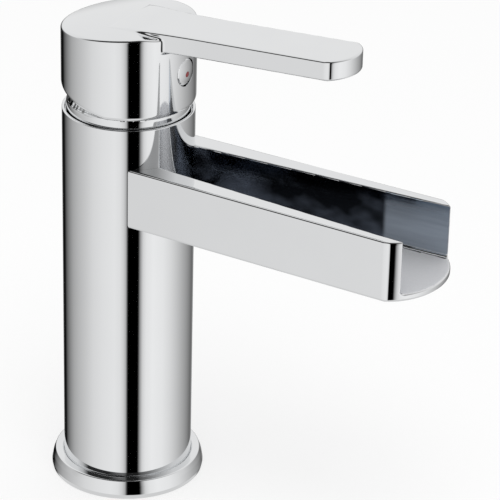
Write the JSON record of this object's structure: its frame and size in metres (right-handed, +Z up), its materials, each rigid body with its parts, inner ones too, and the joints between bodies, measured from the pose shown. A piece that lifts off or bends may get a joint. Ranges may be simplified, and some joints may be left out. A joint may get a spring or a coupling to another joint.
{
  "type": "waterfall basin faucet",
  "caption": "Basin mixer faucet: round chrome body, open channel spout that pours like a waterfall, flat lever on a round hub over a ceramic disc cartridge.",
  "frame": {"origin": "on the body's axis, in the plane of the deck that the faucet stands on", "axes": "+Z up along the body's axis; the spout and the lever point along -Y, towards the user; +X is the user's right"},
  "size_m": [0.0548, 0.1504, 0.1798],
  "materials": {
    "chrome_plate": "polished chrome plate on brass",
    "raw_brass": "machined brass",
    "steel": "turned stainless steel",
    "white_acetal": "moulded acetal",
    "grey_plastic": "moulded plastic",
    "alumina": "lapped alumina",
    "black_rubber": "moulded rubber",
    "chromed_plastic": "chrome-plated plastic",
    "red_enamel": "dark red enamel"
  },
  "bodies": {
    "faucet_body": {"body_shell": "chrome_plate", "base_flange": "chrome_plate", "base_gasket": "black_rubber", "foot_block": "raw_brass", "riser_cold": "raw_brass", "riser_hot": "raw_brass", "seat_block": "raw_brass", "outlet_nozzle": "steel", "spout_trough": "chrome_plate", "cartridge_base": "white_acetal", "cartridge_seals": "black_rubber", "cartridge_housing": "grey_plastic", "fixed_disc": "alumina", "cartridge_nut": "raw_brass", "trim_dome": "chrome_plate", "dome_ring": "black_rubber"},
    "swivel": {"cartridge_rotor": "white_acetal", "pivot_pin": "steel"},
    "lever": {"spindle": "steel", "handle": "chrome_plate", "grub_screw": "steel", "index_plug": "chromed_plastic", "index_dot": "red_enamel"},
    "disc_slider": {"moving_disc": "alumina", "disc_carrier": "white_acetal"}
  },
  "joints": [
    {"name": "handle_swivel", "type": "hinge", "parent": "faucet_body", "child": "swivel", "pos_m": [0, 0, 0.143], "axis": [0, 0, 1], "range_deg": [-50, 50]},
    {"name": "handle_lift", "type": "hinge", "parent": "swivel", "child": "lever", "pos_m": [0, 0, 0.143], "axis": [-1, 0, 0], "range_deg": [0, 20]},
    {"name": "disc_slide", "type": "slide", "parent": "swivel", "child": "disc_slider", "axis": [0, -1, 0], "range_m": [0, 0.0054]}
  ],
  "couplings": [
    {"joint": "disc_slide", "follows": "handle_lift", "m_per_rad": 0.01541}
  ]
}
